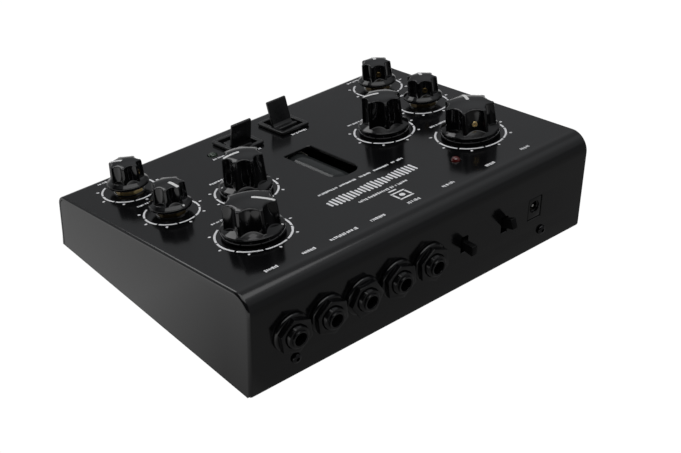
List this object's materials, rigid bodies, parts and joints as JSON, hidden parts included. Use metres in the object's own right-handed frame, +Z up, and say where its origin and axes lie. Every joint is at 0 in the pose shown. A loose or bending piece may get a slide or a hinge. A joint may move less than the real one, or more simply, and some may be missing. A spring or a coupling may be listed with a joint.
{
  "type": "desktop audio interface box",
  "caption": "Black sloping desktop audio box with fluted knobs, paddle switches, a valve window and rear jacks.",
  "frame": {"origin": "centre of the base tray's flat underside, midway between the front and rear walls and the two sides", "axes": "+Z up, -Y towards the user (low front edge), +Y towards the jacks, +X to the user's right"},
  "size_m": [0.23, 0.173, 0.075],
  "materials": {
    "case_paint": "satin black powder coat",
    "tray_paint": "satin black powder coat",
    "knob_plastic": "gloss black moulding",
    "black_plastic": "semi-gloss black moulding",
    "switch_plastic": "fine-textured black moulding",
    "steel": "bright zinc plate",
    "brass": "plain brass",
    "glass": "clear glass",
    "ceramic": "unglazed",
    "board": "green solder mask",
    "rubber": "matt",
    "red_lens": "clear red lens",
    "clear_lens": "clear lens",
    "black_screw": "black chrome"
  },
  "bodies": {
    "case": {"top_cover": "case_paint", "base_tray": "tray_paint", "main_board": "board", "vacuum_tube": "glass", "tube_socket": "ceramic", "dc_jack": "black_plastic", "led_red": "red_lens", "led_clear": "clear_lens", "foot_front_right": "rubber", "foot_front_left": "rubber", "foot_rear_right": "rubber", "foot_rear_left": "rubber", "rear_screw_right": "black_screw", "rear_screw_left": "black_screw", "switch_body_right": "switch_plastic", "switch_body_left": "switch_plastic", "lever_body_right": "black_plastic", "lever_body_left": "black_plastic", "jack_1": "black_plastic", "jack_nut_1": "black_plastic", "jack_2": "black_plastic", "jack_nut_2": "black_plastic", "jack_3": "black_plastic", "jack_nut_3": "black_plastic", "jack_4": "black_plastic", "jack_nut_4": "black_plastic", "jack_5": "black_plastic", "jack_nut_5": "black_plastic", "pot_right_front": "steel", "pot_nut_right_front": "brass", "pot_right_middle": "steel", "pot_nut_right_middle": "brass", "pot_right_inner": "steel", "pot_right_rear": "steel", "pot_left_front": "steel", "pot_nut_left_front": "brass", "pot_left_middle": "steel", "pot_nut_left_middle": "brass", "pot_left_inner": "steel", "pot_left_rear": "steel"},
    "right_front_control": {"knob_right_front": "knob_plastic", "shaft_right_front": "steel"},
    "right_middle_control": {"knob_right_middle": "knob_plastic", "shaft_right_middle": "steel"},
    "right_inner_control": {"knob_right_inner": "knob_plastic", "shaft_right_inner": "steel"},
    "right_rear_control": {"knob_right_rear": "knob_plastic", "shaft_right_rear": "steel"},
    "left_front_control": {"knob_left_front": "knob_plastic", "shaft_left_front": "steel"},
    "left_middle_control": {"knob_left_middle": "knob_plastic", "shaft_left_middle": "steel"},
    "left_inner_control": {"knob_left_inner": "knob_plastic", "shaft_left_inner": "steel"},
    "left_rear_control": {"knob_left_rear": "knob_plastic", "shaft_left_rear": "steel"},
    "right_paddle": {"paddle_right": "switch_plastic"},
    "left_paddle": {"paddle_left": "switch_plastic"},
    "right_lever": {"lever_right": "black_plastic"},
    "left_lever": {"lever_left": "black_plastic"}
  },
  "joints": [
    {"name": "turn_right_front", "type": "hinge", "parent": "case", "child": "right_front_control", "pos_m": [0.0866, -0.0572, 0.03572], "axis": [0, -0.1685, 0.9857], "range_deg": [-8, 292]},
    {"name": "turn_right_middle", "type": "hinge", "parent": "case", "child": "right_middle_control", "pos_m": [0.0866, -0.0182, 0.04239], "axis": [0, -0.1685, 0.9857], "range_deg": [-159, 141]},
    {"name": "turn_right_inner", "type": "hinge", "parent": "case", "child": "right_inner_control", "pos_m": [0.047, -0.0076, 0.0442], "axis": [0, -0.1685, 0.9857], "range_deg": [-40, 260]},
    {"name": "turn_right_rear", "type": "hinge", "parent": "case", "child": "right_rear_control", "pos_m": [0.0735, 0.0327, 0.05109], "axis": [0, -0.1685, 0.9857], "range_deg": [-190, 110]},
    {"name": "turn_left_front", "type": "hinge", "parent": "case", "child": "left_front_control", "pos_m": [-0.088, -0.0572, 0.03572], "axis": [0, -0.1685, 0.9857], "range_deg": [-300, 0]},
    {"name": "turn_left_middle", "type": "hinge", "parent": "case", "child": "left_middle_control", "pos_m": [-0.088, -0.0182, 0.04239], "axis": [0, -0.1685, 0.9857], "range_deg": [-300, 0]},
    {"name": "turn_left_inner", "type": "hinge", "parent": "case", "child": "left_inner_control", "pos_m": [-0.0484, -0.0076, 0.0442], "axis": [0, -0.1685, 0.9857], "range_deg": [-18, 282]},
    {"name": "turn_left_rear", "type": "hinge", "parent": "case", "child": "left_rear_control", "pos_m": [-0.0749, 0.0327, 0.05109], "axis": [0, -0.1685, 0.9857], "range_deg": [-300, 0]},
    {"name": "rock_right_paddle", "type": "hinge", "parent": "case", "child": "right_paddle", "pos_m": [0.0145, -0.05622, 0.02778], "axis": [1, 0, 0], "range_deg": [0, 25.4]},
    {"name": "rock_left_paddle", "type": "hinge", "parent": "case", "child": "left_paddle", "pos_m": [-0.0175, -0.05622, 0.02778], "axis": [1, 0, 0], "range_deg": [-25.4, 0]},
    {"name": "flip_right_lever", "type": "hinge", "parent": "case", "child": "right_lever", "pos_m": [-0.0236, 0.0786, 0.028], "axis": [1, 0, 0], "range_deg": [-22, 22]},
    {"name": "flip_left_lever", "type": "hinge", "parent": "case", "child": "left_lever", "pos_m": [-0.053, 0.0786, 0.0274], "axis": [1, 0, 0], "range_deg": [-44, 0]}
  ]
}
